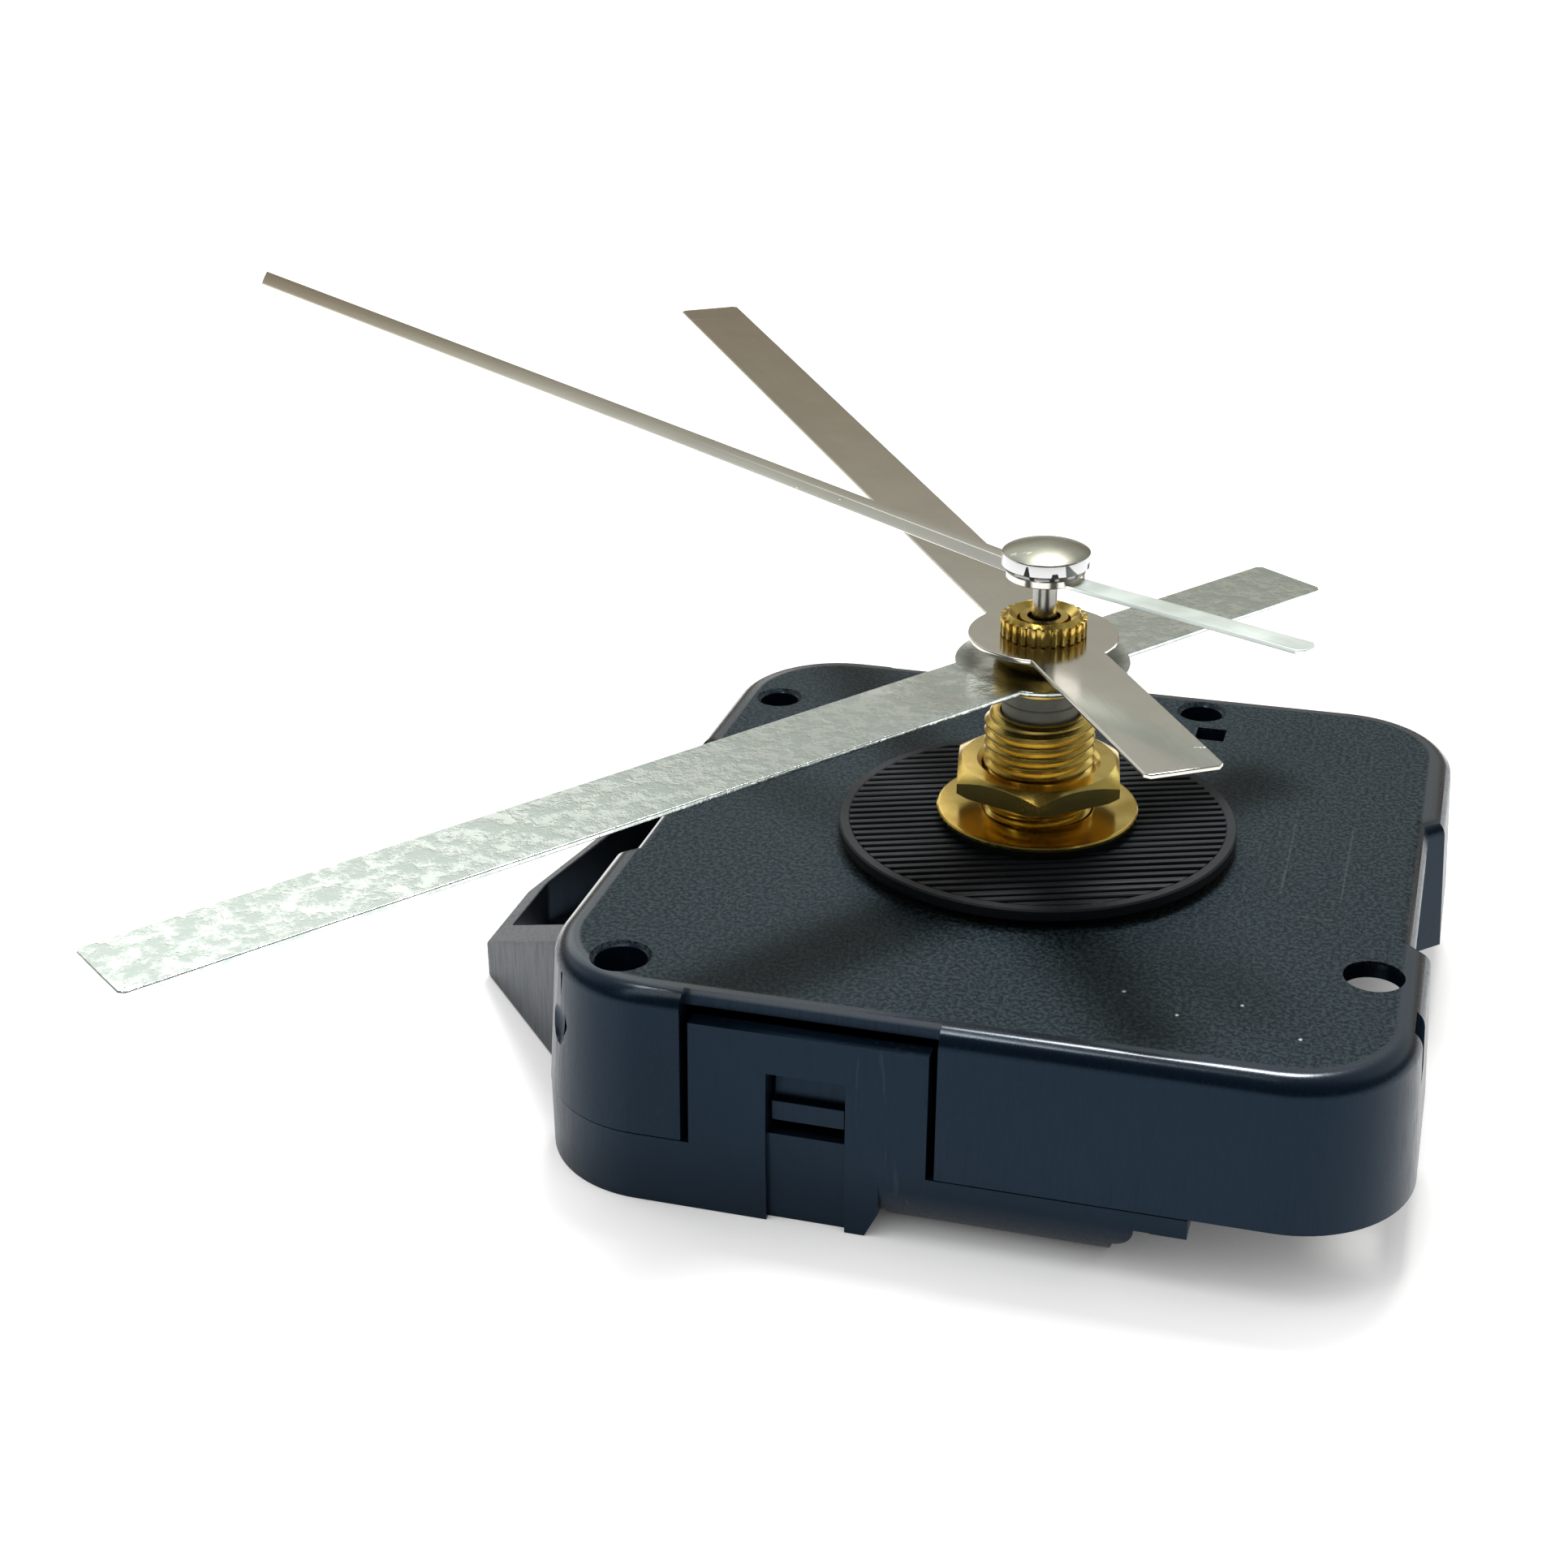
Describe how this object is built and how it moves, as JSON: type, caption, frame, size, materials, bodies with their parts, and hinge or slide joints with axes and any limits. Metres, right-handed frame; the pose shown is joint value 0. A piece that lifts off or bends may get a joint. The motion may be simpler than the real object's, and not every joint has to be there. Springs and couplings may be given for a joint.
{
  "type": "clock movement",
  "caption": "Quartz wall clock movement with threaded brass post, hour, minute and second hands, AA bay and hanger",
  "frame": {"origin": "hand axis at the plane of the front face", "axes": "+Z along the hand axis towards the hands, +X towards 6 o'clock, -X towards 12 o'clock"},
  "size_m": [0.1132, 0.1358, 0.0388],
  "materials": {
    "case_black": "matte",
    "brass": "polished",
    "gasket_rubber": "matte",
    "white_plastic": "satin",
    "grey_nylon": "satin",
    "sheet_steel": "satin",
    "polished_steel": "polished",
    "hand_sheet": "satin",
    "copper_wire": "satin",
    "board_green": "gloss",
    "black_resin": "gloss"
  },
  "bodies": {
    "case": {"front_case": "case_black", "back_cover": "case_black", "hanger": "case_black", "centre_post": "brass", "rubber_gasket": "gasket_rubber", "dial_washer": "brass", "hex_nut": "brass", "middle_plate": "white_plastic", "train_bridge": "white_plastic", "stator": "sheet_steel", "coil_core": "sheet_steel", "coil_bobbin": "white_plastic", "coil_winding": "copper_wire", "circuit_board": "board_green", "quartz_crystal": "sheet_steel", "chip_cover": "black_resin", "positive_contact": "sheet_steel", "negative_contact": "sheet_steel"},
    "second_train": {"second_arbor": "polished_steel", "second_wheel": "white_plastic", "second_hand_tube": "polished_steel", "second_hand": "hand_sheet", "second_hand_cap": "hand_sheet"},
    "third_train": {"third_arbor": "polished_steel", "third_wheel": "white_plastic"},
    "centre_train": {"centre_wheel": "white_plastic"},
    "intermediate_train": {"intermediate_arbor": "polished_steel", "intermediate_wheel": "white_plastic"},
    "rotor": {"rotor_pinion": "white_plastic", "rotor_magnet": "black_resin"},
    "minute_train": {"minute_tube": "brass", "minute_hand": "hand_sheet", "minute_hand_nut": "brass"},
    "setting_train": {"setting_wheel": "white_plastic", "setting_stem": "polished_steel", "setting_knob": "case_black"},
    "hour_train": {"hour_wheel": "grey_nylon", "hour_hand": "hand_sheet", "hour_hand_collet": "brass"}
  },
  "joints": [
    {"name": "second_spin", "type": "hinge", "parent": "case", "child": "second_train", "pos_m": [0, 0, 0], "axis": [0, 0, 1], "continuous": true},
    {"name": "third_spin", "type": "hinge", "parent": "case", "child": "third_train", "pos_m": [-0.0036, 0.00624, -0.007], "axis": [0, 0, 1], "continuous": true},
    {"name": "centre_spin", "type": "hinge", "parent": "case", "child": "centre_train", "pos_m": [0, 0, -0.0057], "axis": [0, 0, 1], "continuous": true},
    {"name": "intermediate_spin", "type": "hinge", "parent": "case", "child": "intermediate_train", "pos_m": [-0.00691, -0.00251, -0.01], "axis": [0, 0, 1], "continuous": true},
    {"name": "rotor_spin", "type": "hinge", "parent": "case", "child": "rotor", "pos_m": [-0.01267, -0.00251, -0.008], "axis": [0, 0, 1], "continuous": true},
    {"name": "minute_spin", "type": "hinge", "parent": "case", "child": "minute_train", "pos_m": [0, 0, 0.005], "axis": [0, 0, 1], "continuous": true},
    {"name": "setting_spin", "type": "hinge", "parent": "case", "child": "setting_train", "pos_m": [-0.00279, -0.00767, -0.008], "axis": [0, 0, 1], "continuous": true},
    {"name": "hour_spin", "type": "hinge", "parent": "case", "child": "hour_train", "pos_m": [0, 0, 0.002], "axis": [0, 0, 1], "continuous": true}
  ],
  "couplings": [
    {"joint": "third_spin", "follows": "second_spin", "ratio": -0.13333},
    {"joint": "centre_spin", "follows": "second_spin", "ratio": 0.016667},
    {"joint": "intermediate_spin", "follows": "second_spin", "ratio": -6},
    {"joint": "rotor_spin", "follows": "second_spin", "ratio": 30},
    {"joint": "setting_spin", "follows": "minute_spin", "ratio": -0.33333},
    {"joint": "hour_spin", "follows": "minute_spin", "ratio": 0.083333}
  ]
}
